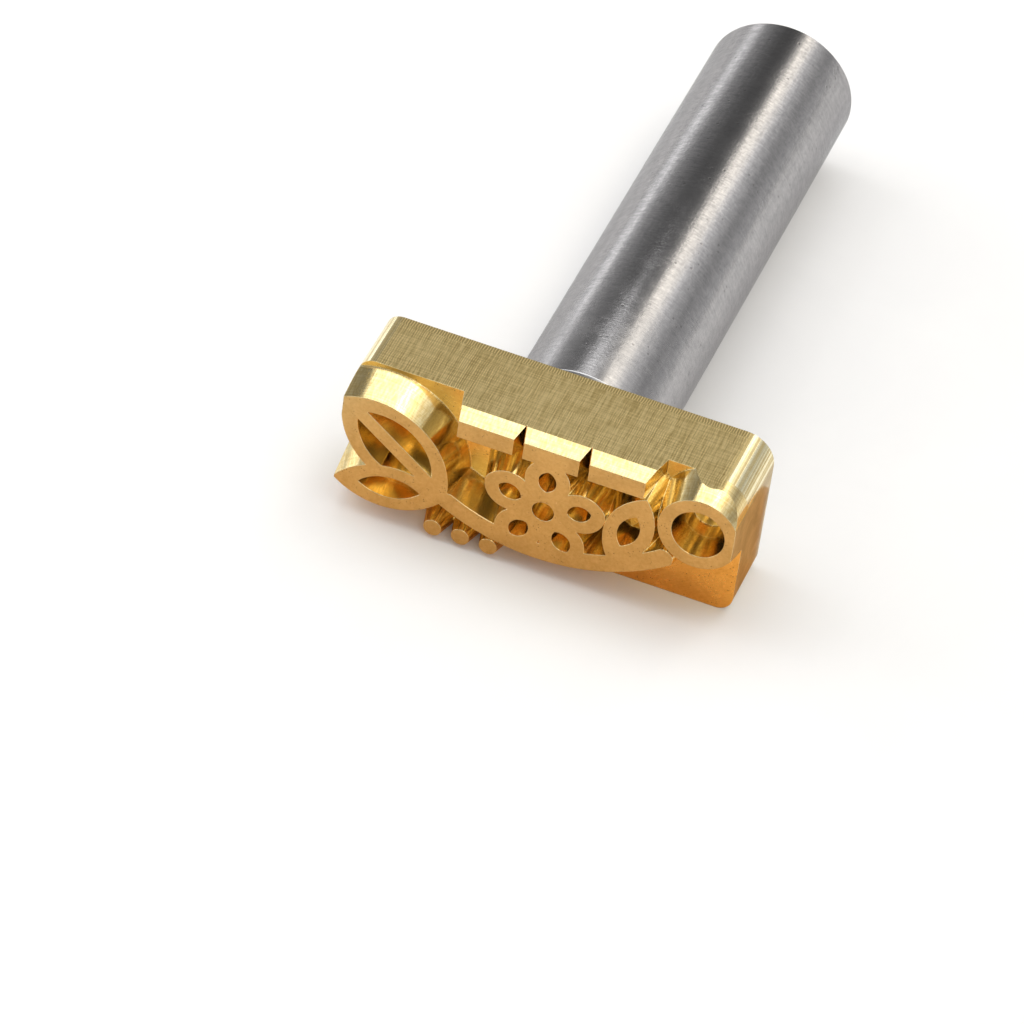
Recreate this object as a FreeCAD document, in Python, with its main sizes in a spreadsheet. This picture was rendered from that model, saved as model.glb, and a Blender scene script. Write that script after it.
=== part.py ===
"""Hand stamp for leather: a milled brass die that a headless stud joins to a round steel handle.

The tool lies on its side. X runs along the die, +Y along the handle away from the work and +Z up.
Sub-parts are drawn about the middle of the die's back face, then moved so that the origin is
midway along the tool, under its middle, on the surface that it lies on.
"""

import FreeCAD
import Part
import Sketcher
import math
import os

SIZES = {
    # brass die
    "die_length": 30.6,
    "die_thickness": 12.3,
    "floor_depth": 5.8,
    "relief_height": 2.9,
    "corner_radius": 1.25,
    "shoulder_radius": 2.4,
    "relief_draft": 14,
    "face_inset": 0.35,
    "back_chamfer": 0.15,
    # steel handle
    "handle_diameter": 12,
    "handle_length": 48,
    "seat_chamfer": 0.35,
    "struck_chamfer": 0.8,
    # M6 stud, 1 mm in pitch, and the tapped bores around it
    "thread_diameter": 6,
    "thread_end_chamfer": 0.6,
    "stud_in_die": 4.8,
    "stud_in_handle": 11.2,
    "bore_clearance": 0.05,
    "die_bore_spare": 0.2,
    "handle_bore_spare": 1.8,
    "drill_point_angle": 118,
    "mouth_chamfer": 0.3,
    "socket_across_flats": 3,
    "socket_depth": 3.5,
    # rail along the upper edge of the face
    "rail_length": 4.3,
    "rail_width": 1.5,
    "rail_gap": 0.8,
    # blossom
    "blossom_offset": 0.85,
    "blossom_radius": 4.9,
    "blossom_overlap": 0.6,
    "blossom_eye_radius": 1.5,
    "blossom_hollow_radius": 0.85,
    "petal_root": 0.9,
    "petal_width": 3.5,
    "petal_tip_wall": 1.1,
    "petal_root_wall": 0.4,
    "petal_groove_width": 1.4,
    # twig that carries the leaves, the blossom and the bud
    "twig_width": 1.5,
    "twig_cap": 0.5,
    "twig_sag": 2.6,
    "twig_start_inset": 8.7,
    "twig_drop": 7.8,
    "twig_bud_side": 2.1,
    # leaves: broad one up, slim one down, both towards the start of the die; small one upright
    "broad_leaf_length": 10.9,
    "broad_leaf_width": 6.4,
    "broad_leaf_angle": 143,
    "slim_leaf_length": 8.9,
    "slim_leaf_width": 3.9,
    "slim_leaf_angle": 188,
    "small_leaf_length": 7.3,
    "small_leaf_width": 3.6,
    "small_leaf_angle": 74,
    "small_leaf_end_inset": 8.9,
    "small_leaf_drop": 2.7,
    "leaf_wall": 1.0,
    "leaf_tip_wall": 2.0,
    "leaf_rib": 1.1,
    "leaf_pocket_depth": 2.2,
    "groove_depth": 1.8,
    # bud at the end of the twig
    "bud_radius": 3.1,
    "bud_bore_radius": 2.05,
    "bud_end_inset": 2.75,

    "berry_radius": 0.7,
    "berry_spacing": 2.2,
    "berry_end_inset": 8.0,
    "berry_rise": 1.1,
}
RAIL_COUNT = 3
PETAL_COUNT = 5
BERRY_COUNT = 3
# The block's corners counter-clockwise, seen from the work: the sides they are on, their radius
BLOCK_CORNERS = [
    (1, -1, "corner_radius"),
    (1, 1, "shoulder_radius"),
    (-1, 1, "corner_radius"),
    (-1, -1, "corner_radius"),
]
RIGHT_ANGLE = 90
FULL_TURN = 360
COUNTERSINK_ANGLE = 90
SAME_PLACE = 1e-6
SHEET_NAME = "Sizes"

# numbers of a sketch edge's points
START, END, CENTRE = 1, 2, 3


class Measure:
    """A number, with the sheet formula that it comes from."""

    def __init__(self, value, formula):
        self.value = value
        self.formula = formula

    def __add__(self, other):
        other = measure(other)
        return Measure(self.value + other.value, f"({self.formula} + {other.formula})")

    def __sub__(self, other):
        other = measure(other)
        return Measure(self.value - other.value, f"({self.formula} - {other.formula})")

    def __mul__(self, other):
        other = measure(other)
        return Measure(self.value * other.value, f"({self.formula} * {other.formula})")

    def __truediv__(self, other):
        other = measure(other)
        return Measure(self.value / other.value, f"({self.formula} / {other.formula})")

    def __neg__(self):
        return Measure(-self.value, f"(0 - {self.formula})")


def measure(value):
    return value if isinstance(value, Measure) else Measure(value, repr(value))


def length_of(x, y):
    square = x * x + y * y
    return Measure(math.sqrt(square.value), f"sqrt({square.formula})")


def direction_of(x, y):
    """The direction of x, y in degrees, counter-clockwise from +x."""
    return Measure(math.degrees(math.atan2(y.value, x.value)), f"atan2({y.formula}; {x.formula})")


SIZE = {name: Measure(value, f"{SHEET_NAME}.{name}") for name, value in SIZES.items()}
ZERO = measure(0)

HALF_LENGTH = SIZE["die_length"] / 2
HALF_THICKNESS = SIZE["die_thickness"] / 2
FACE_DEPTH = SIZE["floor_depth"] + SIZE["relief_height"]
FACE_TOP = HALF_THICKNESS - SIZE["face_inset"]
BORE_DIAMETER = SIZE["thread_diameter"] + SIZE["bore_clearance"] * 2


# sheet, sketches and features


def make_sheet(doc):
    sheet = doc.addObject("Spreadsheet::Sheet", SHEET_NAME)
    for row, (name, value) in enumerate(SIZES.items(), start=1):
        sheet.set(f"A{row}", name)
        sheet.set(f"B{row}", str(value))
        sheet.setAlias(f"B{row}", name)
    doc.recompute()


def bind(feature, name, size):
    feature.setExpression(name, size.formula)


def make_body(doc, name):
    """A body whose own origin is the middle of the die's back face."""
    body = doc.addObject("PartDesign::Body", name)
    body.Label = name
    bind(body, "Placement.Base.y", (FACE_DEPTH - SIZE["handle_length"]) / 2)
    bind(body, "Placement.Base.z", HALF_THICKNESS)
    return body


def cross_sketch(body, name, depth=ZERO, x=ZERO, z=ZERO, turn=ZERO):
    """A sketch square to the handle, depth in front of the die's back face.

    Seen from the work its x is to the right and its y up, and turn is counter-clockwise.
    """
    sketch = body.newObject("Sketcher::SketchObject", name)
    plane = next(item for item in body.Origin.OriginFeatures if item.Role == "XZ_Plane")
    sketch.AttachmentSupport = [(plane, "")]
    sketch.MapMode = "FlatFace"
    rotation = FreeCAD.Rotation(FreeCAD.Vector(0, 0, 1), turn.value)
    sketch.AttachmentOffset = FreeCAD.Placement(FreeCAD.Vector(), rotation)
    bind(sketch, "AttachmentOffset.Base.x", x)
    bind(sketch, "AttachmentOffset.Base.y", z)
    bind(sketch, "AttachmentOffset.Base.z", depth)
    bind(sketch, "AttachmentOffset.Rotation.Angle", turn)
    return sketch


def dimension(sketch, kind, *references, size):
    index = sketch.addConstraint(Sketcher.Constraint(kind, *references, size.value))
    bind(sketch, f"Constraints[{index}]", size)


def pin_point(sketch, edge, point, x, y):
    """Hold a point of an edge at x, y from the sketch's own origin."""
    dimension(sketch, "DistanceX", -1, 1, edge, point, size=x)
    dimension(sketch, "DistanceY", -1, 1, edge, point, size=y)


def add_circle(sketch, radius, x=ZERO, y=ZERO):
    centre = FreeCAD.Vector(x.value, y.value, 0)
    edge = sketch.addGeometry(Part.Circle(centre, FreeCAD.Vector(0, 0, 1), radius.value))
    pin_point(sketch, edge, CENTRE, x, y)
    dimension(sketch, "Radius", edge, size=radius)


def arc_radius(start, end, bulge):
    half_chord = length_of(end[0] - start[0], end[1] - start[1]) / 2
    height = length_of(bulge, ZERO)
    return (half_chord * half_chord + bulge * bulge) / (height * 2)


def arc_geometry(start, end, bulge):
    """The counter-clockwise arc from start to end that stands bulge off its chord."""
    start = FreeCAD.Vector(start[0].value, start[1].value, 0)
    end = FreeCAD.Vector(end[0].value, end[1].value, 0)
    chord = end - start
    outward = FreeCAD.Vector(chord.y, -chord.x, 0).normalize()
    middle = (start + end) / 2 + outward * bulge.value
    return Part.Arc(start, middle, end)


def add_edge(sketch, start, end, bulge):
    """One edge of an outline, and the numbers of its first and last points."""
    if bulge is None:
        points = [FreeCAD.Vector(x.value, y.value, 0) for x, y in (start, end)]
        return sketch.addGeometry(Part.LineSegment(*points)), START, END
    if bulge.value > 0:
        edge = sketch.addGeometry(arc_geometry(start, end, bulge))
        points = START, END
    else:
        edge = sketch.addGeometry(arc_geometry(end, start, -bulge))
        points = END, START
    return edge, *points


def add_loop(sketch, corners, bulges):
    """A closed outline through corners, counter-clockwise.

    An edge with a bulge is an arc that stands that far out from its chord, or inwards if the
    bulge is negative.
    """
    following = corners[1:] + corners[:1]
    edges = [add_edge(sketch, *ends) for ends in zip(corners, following, bulges)]
    for index, (edge, first, last) in enumerate(edges):
        next_edge, next_first, _ = edges[(index + 1) % len(edges)]
        sketch.addConstraint(Sketcher.Constraint("Coincident", edge, last, next_edge, next_first))
        pin_point(sketch, edge, first, *corners[index])
        if bulges[index] is not None:
            radius = arc_radius(corners[index], following[index], bulges[index])
            dimension(sketch, "Radius", edge, size=radius)


def add_pad(body, sketch, length, draft=None, towards_handle=True):
    pad = body.newObject("PartDesign::Pad", sketch.Name + "_pad")
    pad.Profile = sketch
    pad.Reversed = towards_handle
    bind(pad, "Length", length)
    if draft is not None:
        bind(pad, "TaperAngle", draft)
    body.Document.recompute()
    return pad


def add_pocket(body, sketch, depth, draft=None):
    """A pocket from the sketch towards the handle, narrower at its floor where it has draft."""
    volume = body.Shape.Volume
    pocket = body.newObject("PartDesign::Pocket", sketch.Name + "_pocket")
    pocket.Profile = sketch
    bind(pocket, "Length", depth)
    if draft is not None:
        bind(pocket, "TaperAngle", -draft)
    body.Document.recompute()
    require_cut(body, volume, pocket)
    return pocket


def require_cut(body, volume_before, feature):
    if body.Shape.Volume >= volume_before:
        raise RuntimeError(f"{feature.Name} cuts nothing")


def add_tapped_bore(body, depth, drill_point, towards_handle):
    """The tapped bore on the tool's axis, drawn at the thread's full width."""
    sketch = cross_sketch(body, body.Name + "_bore_place")
    add_circle(sketch, BORE_DIAMETER / 2)
    volume = body.Shape.Volume
    bore = body.newObject("PartDesign::Hole", body.Name + "_bore")
    bore.Profile = sketch
    body.Document.recompute()
    bore.Reversed = not towards_handle
    bore.DepthType = "Dimension"
    bore.DrillPoint = drill_point
    bore.HoleCutType = "Countersink"
    bind(bore, "Diameter", BORE_DIAMETER)
    bind(bore, "Depth", depth)
    bind(bore, "DrillPointAngle", SIZE["drill_point_angle"])
    bind(bore, "HoleCutDiameter", BORE_DIAMETER + SIZE["mouth_chamfer"] * 2)
    bore.HoleCutCountersinkAngle = COUNTERSINK_ANGLE
    body.Document.recompute()
    require_cut(body, volume, bore)


def round_edges_at(shape, y, radius):
    """Names of the circular edges of this radius that lie in the plane at y."""
    names = []
    for index, edge in enumerate(shape.Edges, start=1):
        centre = getattr(edge.Curve, "Center", None)
        if centre is None or abs(edge.Curve.Radius - radius) > SAME_PLACE:
            continue
        if abs(centre.y - y) < SAME_PLACE:
            names.append(f"Edge{index}")
    return names


def add_chamfer(body, name, base, edges, size):
    chamfer = body.newObject("PartDesign::Chamfer", name)
    chamfer.Base = (base, edges)
    bind(chamfer, "Size", size)
    body.Document.recompute()
    return chamfer


# brass die


def add_block_outline(sketch):
    """The die's own outline, seen from the work: a rectangle with one corner rounder."""
    corners = []
    bulges = []
    for side_x, side_z, name in BLOCK_CORNERS:
        radius = SIZE[name]
        along = ((HALF_LENGTH - radius) * side_x, HALF_THICKNESS * side_z)
        upright = (HALF_LENGTH * side_x, (HALF_THICKNESS - radius) * side_z)
        starts_along = side_x * side_z < 0
        corners += [along, upright] if starts_along else [upright, along]
        bulges += [radius * (1 - math.sqrt(0.5)), None]
    add_loop(sketch, corners, bulges)


def add_block(body):
    sketch = cross_sketch(body, "block")
    add_block_outline(sketch)
    block = add_pad(body, sketch, SIZE["floor_depth"], towards_handle=False)
    back_edges = []
    for index, edge in enumerate(block.Shape.Edges, start=1):
        if abs(edge.BoundBox.YMin) < SAME_PLACE and abs(edge.BoundBox.YMax) < SAME_PLACE:
            back_edges.append(f"Edge{index}")
    add_chamfer(body, "back_edge_chamfer", block, back_edges, SIZE["back_chamfer"])


def face_sketch(body, name, x=ZERO, z=ZERO, turn=ZERO):
    return cross_sketch(body, name, depth=FACE_DEPTH, x=x, z=z, turn=turn)


def raise_relief(body, sketch):
    """Stand the outline up from the floor to the face, wider at the floor by the draft."""
    return add_pad(body, sketch, SIZE["relief_height"], draft=SIZE["relief_draft"])


def sink_pocket(body, sketch, depth):
    return add_pocket(body, sketch, depth, draft=SIZE["relief_draft"])


def lens_corners(length, start=ZERO):
    """The two points of a leaf shape that lies along the sketch's x."""
    return [(start, ZERO), (start + length, ZERO)]


def add_rail(body):
    """Short bars in a row above the blossom, with a notch between each two."""
    width = SIZE["rail_width"]
    length = SIZE["rail_length"]
    step = length + SIZE["rail_gap"]
    row_length = step * RAIL_COUNT - SIZE["rail_gap"]
    for index in range(RAIL_COUNT):
        start = SIZE["blossom_offset"] - row_length / 2 + step * index
        sketch = face_sketch(body, f"rail_{index + 1}", x=start, z=FACE_TOP - width)
        corners = [(ZERO, ZERO), (length, ZERO), (length, width), (ZERO, width)]
        add_loop(sketch, corners, [None] * 4)
        raise_relief(body, sketch)


def add_blossom(body):
    x = SIZE["blossom_offset"]
    z = FACE_TOP - SIZE["rail_width"] - SIZE["blossom_radius"] + SIZE["blossom_overlap"]
    petal_length = SIZE["blossom_radius"] - SIZE["petal_root"]
    petal_turn = measure(RIGHT_ANGLE)
    petal = face_sketch(body, "petal", x=x, z=z, turn=petal_turn)
    bulge = SIZE["petal_width"] / 2
    add_loop(petal, lens_corners(petal_length, SIZE["petal_root"]), [bulge, bulge])
    petal_pad = raise_relief(body, petal)

    groove = face_sketch(body, "petal_groove", x=x, z=z, turn=petal_turn)
    groove_start = SIZE["blossom_eye_radius"] + SIZE["petal_root_wall"]
    groove_length = SIZE["blossom_radius"] - SIZE["petal_tip_wall"] - groove_start
    groove_bulge = SIZE["petal_groove_width"] / 2
    add_loop(groove, lens_corners(groove_length, groove_start), [groove_bulge, groove_bulge])
    petal_groove = sink_pocket(body, groove, SIZE["groove_depth"])

    ring = body.newObject("PartDesign::PolarPattern", "petals")
    ring.Originals = [petal_pad, petal_groove]
    ring.Axis = (petal, ["N_Axis"])
    ring.Angle = FULL_TURN
    ring.Occurrences = PETAL_COUNT
    body.Tip = ring
    body.Document.recompute()

    eye = face_sketch(body, "blossom_eye", x=x, z=z)
    add_circle(eye, SIZE["blossom_eye_radius"])
    raise_relief(body, eye)
    hollow = face_sketch(body, "blossom_hollow", x=x, z=z)
    add_circle(hollow, SIZE["blossom_hollow_radius"])
    add_pocket(body, hollow, SIZE["groove_depth"])


def twig_start():
    """Where the two leaves leave the twig, from the middle of the face."""
    return SIZE["twig_start_inset"] - HALF_LENGTH, FACE_TOP - SIZE["twig_drop"]


def bud_centre():
    return HALF_LENGTH - SIZE["bud_end_inset"], FACE_TOP - SIZE["bud_radius"]


def twig_end():
    """Where the twig runs into the foot of the bud, from the middle of the face."""
    x, z = bud_centre()
    return x - SIZE["twig_bud_side"], z - SIZE["bud_radius"]


def add_twig(body):
    """A band of even width that hangs in one round curve from the leaves to the bud."""
    x, z = twig_start()
    end_x, end_z = twig_end()
    chord = length_of(end_x - x, end_z - z)
    sketch = face_sketch(body, "twig", x=x, z=z, turn=direction_of(end_x - x, end_z - z))
    sag = SIZE["twig_sag"]
    radius = (chord * chord / 4 + sag * sag) / (sag * 2)
    across = chord / 2 / radius
    down = (radius - sag) / radius
    corners = []
    half = SIZE["twig_width"] / 2
    for edge_radius, sides in ((radius + half, (-1, 1)), (radius - half, (1, -1))):
        for side in sides:
            corner_x = chord / 2 + edge_radius * across * side
            corners.append((corner_x, radius - sag - edge_radius * down))
    cap = SIZE["twig_cap"]
    lower = (radius + half) * (measure(1) - down)
    upper = (radius - half) * (down - 1)
    add_loop(sketch, corners, [lower, cap, upper, cap])
    raise_relief(body, sketch)


def add_berries(body):
    """Round pegs in a row under the twig."""
    z = SIZE["berry_rise"] - HALF_THICKNESS
    for index in range(BERRY_COUNT):
        x = SIZE["berry_end_inset"] + SIZE["berry_spacing"] * index - HALF_LENGTH
        sketch = face_sketch(body, f"berry_{index + 1}", x=x, z=z)
        add_circle(sketch, SIZE["berry_radius"])
        raise_relief(body, sketch)


def add_leaf(body, kind, x, z):
    length = SIZE[kind + "_length"]
    half = SIZE[kind + "_width"] / 2
    turn = SIZE[kind + "_angle"]
    outline = face_sketch(body, kind, x=x, z=z, turn=turn)
    add_loop(outline, lens_corners(length), [half, half])
    raise_relief(body, outline)
    return length, half, turn


def add_broad_leaf(body, x, z):
    """The broad leaf has a pocket each side of its rib."""
    length, half, turn = add_leaf(body, "broad_leaf", x, z)
    rib = SIZE["leaf_rib"] / 2
    inset = SIZE["leaf_tip_wall"]
    bulge = half - SIZE["leaf_wall"] - rib
    outlines = {
        "upper_side": [(inset, -rib), (length - inset, -rib)],
        "lower_side": [(length - inset, rib), (inset, rib)],
    }
    for name, corners in outlines.items():
        sketch = face_sketch(body, name, x=x, z=z, turn=turn)
        add_loop(sketch, corners, [bulge, None])
        sink_pocket(body, sketch, SIZE["leaf_pocket_depth"])


def add_grooved_leaf(body, kind, x, z):
    length, half, turn = add_leaf(body, kind, x, z)
    sketch = face_sketch(body, kind + "_groove", x=x, z=z, turn=turn)
    inset = SIZE["leaf_tip_wall"]
    bulge = half - SIZE["leaf_wall"]
    add_loop(sketch, lens_corners(length - inset * 2, inset), [bulge, bulge])
    sink_pocket(body, sketch, SIZE["groove_depth"])


def add_bud(body):
    """A ring boss at the upper corner; the end of the block cuts its outer wall."""
    x, z = bud_centre()
    boss = face_sketch(body, "bud", x=x, z=z)
    add_circle(boss, SIZE["bud_radius"])
    raise_relief(body, boss)
    hollow = face_sketch(body, "bud_hollow", x=x, z=z)
    add_circle(hollow, SIZE["bud_bore_radius"])
    sink_pocket(body, hollow, SIZE["relief_height"])


def trim_to_block(body):
    """Cut off what the relief's draft spreads past the sides of the block."""
    sketch = face_sketch(body, "trim")
    add_circle(sketch, SIZE["die_length"])
    add_block_outline(sketch)
    add_pocket(body, sketch, SIZE["relief_height"])


def make_die(doc):
    body = make_body(doc, "stamp_die")
    add_block(body)
    add_rail(body)
    add_twig(body)
    add_blossom(body)
    leaf_x, leaf_z = twig_start()
    add_broad_leaf(body, leaf_x, leaf_z)
    add_grooved_leaf(body, "slim_leaf", leaf_x, leaf_z)
    small_x = HALF_LENGTH - SIZE["small_leaf_end_inset"]
    add_grooved_leaf(body, "small_leaf", small_x, -SIZE["small_leaf_drop"])
    add_bud(body)
    add_berries(body)
    trim_to_block(body)
    bore_depth = SIZE["stud_in_die"] + SIZE["die_bore_spare"]
    add_tapped_bore(body, bore_depth, "Flat", towards_handle=False)
    return body


# steel handle and stud


def make_handle(doc):
    body = make_body(doc, "handle")
    radius = SIZE["handle_diameter"] / 2
    bar = cross_sketch(body, "bar")
    add_circle(bar, radius)
    pad = add_pad(body, bar, SIZE["handle_length"])
    seat_edges = round_edges_at(pad.Shape, 0, radius.value)
    seat = add_chamfer(body, "seat_chamfer", pad, seat_edges, SIZE["seat_chamfer"])
    struck_edges = round_edges_at(seat.Shape, SIZES["handle_length"], radius.value)
    add_chamfer(body, "struck_chamfer", seat, struck_edges, SIZE["struck_chamfer"])
    bore_depth = SIZE["stud_in_handle"] + SIZE["handle_bore_spare"]
    add_tapped_bore(body, bore_depth, "Angled", towards_handle=True)
    return body


def make_stud(doc):
    """A headless stud, drawn as the round outside of its thread."""
    body = make_body(doc, "joining_stud")
    radius = SIZE["thread_diameter"] / 2
    length = SIZE["stud_in_die"] + SIZE["stud_in_handle"]
    rod = cross_sketch(body, "rod", depth=SIZE["stud_in_die"])
    add_circle(rod, radius)
    pad = add_pad(body, rod, length)
    ends = round_edges_at(pad.Shape, -SIZES["stud_in_die"], radius.value)
    ends += round_edges_at(pad.Shape, SIZES["stud_in_handle"], radius.value)
    add_chamfer(body, "thread_ends", pad, ends, SIZE["thread_end_chamfer"])

    socket = cross_sketch(body, "socket", depth=SIZE["stud_in_die"])
    corner_radius = SIZE["socket_across_flats"] / math.sqrt(3)
    corners = []
    for index in range(6):
        angle = math.radians(60 * index)
        corners.append((corner_radius * math.cos(angle), corner_radius * math.sin(angle)))
    add_loop(socket, corners, [None] * 6)
    add_pocket(body, socket, SIZE["socket_depth"])
    return body


def check(doc, bodies):
    for item in doc.Objects:
        if "Invalid" in item.State or "Error" in item.State:
            raise RuntimeError(f"{item.Name} failed: {item.State}")
    for body in bodies:
        if body.Shape.isNull() or not body.Shape.isValid():
            raise RuntimeError(f"{body.Label} has no valid shape")
        if len(body.Shape.Solids) != 1:
            raise RuntimeError(f"{body.Label} is {len(body.Shape.Solids)} solids, not one")


def main():
    doc = FreeCAD.newDocument("LeatherStamp")
    make_sheet(doc)
    bodies = [make_die(doc), make_stud(doc), make_handle(doc)]
    doc.recompute()
    check(doc, bodies)
    os.makedirs("parts", exist_ok=True)
    for body in bodies:
        body.Shape.exportStep(f"parts/{body.Label}.step")
        box = body.Shape.BoundBox
        print(body.Label, round(body.Shape.Volume, 2), "mm3", box)


main()
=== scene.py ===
import math

import bmesh
import bpy
from mathutils import Matrix, Vector


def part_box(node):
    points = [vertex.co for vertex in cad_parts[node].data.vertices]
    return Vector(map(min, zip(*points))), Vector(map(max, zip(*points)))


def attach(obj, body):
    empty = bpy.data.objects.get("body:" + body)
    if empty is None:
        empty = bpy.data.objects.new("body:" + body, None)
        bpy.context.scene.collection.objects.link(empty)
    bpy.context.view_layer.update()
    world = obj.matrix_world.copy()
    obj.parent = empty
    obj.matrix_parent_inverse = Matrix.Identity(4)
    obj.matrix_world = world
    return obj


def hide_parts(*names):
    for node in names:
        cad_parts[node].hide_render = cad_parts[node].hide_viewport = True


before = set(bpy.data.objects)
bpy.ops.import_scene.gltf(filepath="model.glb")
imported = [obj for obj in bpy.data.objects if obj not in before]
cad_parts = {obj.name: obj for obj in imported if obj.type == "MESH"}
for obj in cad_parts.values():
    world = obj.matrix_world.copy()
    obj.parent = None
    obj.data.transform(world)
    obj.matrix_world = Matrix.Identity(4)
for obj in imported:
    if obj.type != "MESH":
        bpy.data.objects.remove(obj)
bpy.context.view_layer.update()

# ---- sizes in metres, from the frame and from the drawing ----------------------------------------
MM = 0.001
DIE_LOW, DIE_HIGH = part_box("stamp_die")
BAR_LOW, BAR_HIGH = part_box("handle")
STUD_LOW, STUD_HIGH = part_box("joining_stud")

BAR_RADIUS = (BAR_HIGH.x - BAR_LOW.x) / 2
AXIS_X = (BAR_HIGH.x + BAR_LOW.x) / 2
AXIS_Z = (BAR_HIGH.z + BAR_LOW.z) / 2
FACE_Y = DIE_LOW.y
SEAT_Y = DIE_HIGH.y
RELIEF_HEIGHT = 2.9 * MM
FLOOR_Y = FACE_Y + RELIEF_HEIGHT
GROUND_Z = min(DIE_LOW.z, BAR_LOW.z)
DIE_LENGTH = 30.6 * MM
DIE_THICKNESS = 12.3 * MM
HALF_DIE_LENGTH = DIE_LENGTH / 2
DIE_TOP_Z = GROUND_Z + DIE_THICKNESS

SEAT_CHAMFER = 0.35 * MM
STRUCK_CHAMFER = 0.8 * MM
EDGE_ROUNDING = 0.05 * MM
BORE_RADIUS = 3.05 * MM
BORE_MOUTH_CHAMFER = 0.3 * MM
BORE_DEPTH = 13.0 * MM
DRILL_POINT_ANGLE = math.radians(118)

THREAD_PITCH = 1.0 * MM
THREAD_DEPTH = 0.61 * MM
THREAD_CREST_SHARE = 0.125
THREAD_ROOT_SHARE = 0.25
THREAD_END_CHAMFER = 0.6 * MM
SOCKET_ACROSS_FLATS = 3.0 * MM
SOCKET_DEPTH = 3.5 * MM
SOCKET_POINT = SOCKET_ACROSS_FLATS / 4

BAR_SEGMENTS = 256
STUD_SEGMENTS = 60
STEPS_PER_PITCH = 12
END_RING_SHARE = 0.5
BAR_CRISP_ANGLE = math.radians(40)
STUD_CRISP_ANGLE = math.radians(35)

# ---- where the camera stands ---------------------------------------------------------------------
CAMERA_AZIMUTH = math.radians(15.092)
CAMERA_ELEVATION = math.radians(41.639)
CAMERA_ROLL = math.radians(8.5)
CAMERA_DISTANCE = 470.3 * MM
CAMERA_LENS = 227.2
AIM_LEFT_OF_AXIS = 1.16 * MM
AIM_BEFORE_FACE = 1.08 * MM


# ---- node helpers --------------------------------------------------------------------------------
def place_node(tree, kind, settings=None, inputs=None):
    """A shader node with its settings made and its inputs given a value or linked from a socket."""
    made = tree.nodes.new("ShaderNode" + kind)
    for name, value in (settings or {}).items():
        setattr(made, name, value)
    for name, value in (inputs or {}).items():
        if isinstance(value, bpy.types.NodeSocket):
            tree.links.new(value, made.inputs[name])
        else:
            made.inputs[name].default_value = value
    return made


def work_out(tree, operation, first, second=0.0, clamp=False):
    """The result of one sum on two values."""
    settings = {"operation": operation, "use_clamp": clamp}
    return place_node(tree, "Math", settings, {0: first, 1: second}).outputs[0]


def times(tree, first, second):
    """One value times another."""
    return work_out(tree, "MULTIPLY", first, second)


def fade(tree, value, start, end, low=0.0, high=1.0):
    """Goes smoothly from low to high as the value goes from start to end."""
    settings = {"interpolation_type": "SMOOTHSTEP"}
    inputs = {"Value": value, "From Min": start, "From Max": end, "To Min": low, "To Max": high}
    return place_node(tree, "MapRange", settings, inputs).outputs["Result"]


def blend_colour(tree, share, first, second):
    """A colour between the first and the second."""
    made = place_node(tree, "Mix", {"data_type": "RGBA"})
    for index, value in ((0, share), (6, first), (7, second)):
        if isinstance(value, bpy.types.NodeSocket):
            tree.links.new(value, made.inputs[index])
        else:
            made.inputs[index].default_value = value
    return made.outputs[2]


def blend_value(tree, share, first, second):
    """A value between the first and the second."""
    made = place_node(tree, "Mix", {"data_type": "FLOAT"}, {0: share, 2: first, 3: second})
    return made.outputs[0]


def new_group(name, inputs, outputs):
    """An empty shader group, with the sockets inside it."""
    tree = bpy.data.node_groups.new(name, "ShaderNodeTree")
    for in_out, sockets in (("INPUT", inputs), ("OUTPUT", outputs)):
        for label, kind in sockets:
            tree.interface.new_socket(name=label, in_out=in_out, socket_type="NodeSocket" + kind)
    given = tree.nodes.new("NodeGroupInput").outputs
    result = tree.nodes.new("NodeGroupOutput").inputs
    return tree, given, result


def use_group(tree, group, inputs):
    """The outputs of a shader group placed in a material."""
    return place_node(tree, "Group", {"node_tree": group}, inputs).outputs


def new_material(name, metallic):
    """A material with a Principled shader, ready for its surface."""
    material = bpy.data.materials.new(name)
    material.use_nodes = True
    tree = material.node_tree
    shader = tree.nodes["Principled BSDF"]
    shader.inputs["Metallic"].default_value = metallic
    return material, tree, shader


# ---- surface effects that several finishes share ---------------------------------------------------
def make_cutter_lines():
    """Fine broken lines, long one way and close together the other way."""
    inputs = [("Place", "Vector"), ("Stretch", "Vector"), ("Softness", "Float")]
    tree, given, result = new_group("cutter_lines", inputs, [("Lines", "Float")])
    drawn = place_node(tree, "VectorMath", {"operation": "MULTIPLY"},
                       {0: given["Place"], 1: given["Stretch"]}).outputs[0]
    noise = place_node(tree, "TexNoise", inputs={"Vector": drawn, "Scale": 1.0, "Detail": 2.0})
    low = work_out(tree, "SUBTRACT", 0.5, given["Softness"])
    high = work_out(tree, "ADD", 0.5, given["Softness"])
    tree.links.new(fade(tree, noise.outputs["Fac"], low, high), result["Lines"])
    return tree


def make_pits():
    """Small dark pits that lie in clusters."""
    inputs = [("Place", "Vector"), ("Closeness", "Float"), ("Size", "Float"), ("Cover", "Float")]
    tree, given, result = new_group("pits", inputs, [("Pits", "Float")])
    cells = place_node(tree, "TexVoronoi", inputs={"Vector": given["Place"],
                                                   "Scale": given["Closeness"]})
    near = times(tree, given["Size"], 0.6)
    spots = fade(tree, cells.outputs["Distance"], given["Size"], near)
    wide = times(tree, given["Closeness"], 0.22)
    clusters = place_node(tree, "TexNoise", inputs={"Vector": given["Place"], "Scale": wide,
                                                    "Detail": 3.0})
    bare = work_out(tree, "SUBTRACT", 1.0, given["Cover"])
    full = work_out(tree, "ADD", bare, 0.06)
    cluster = fade(tree, clusters.outputs["Fac"], bare, full)
    tree.links.new(times(tree, spots, cluster), result["Pits"])
    return tree


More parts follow.
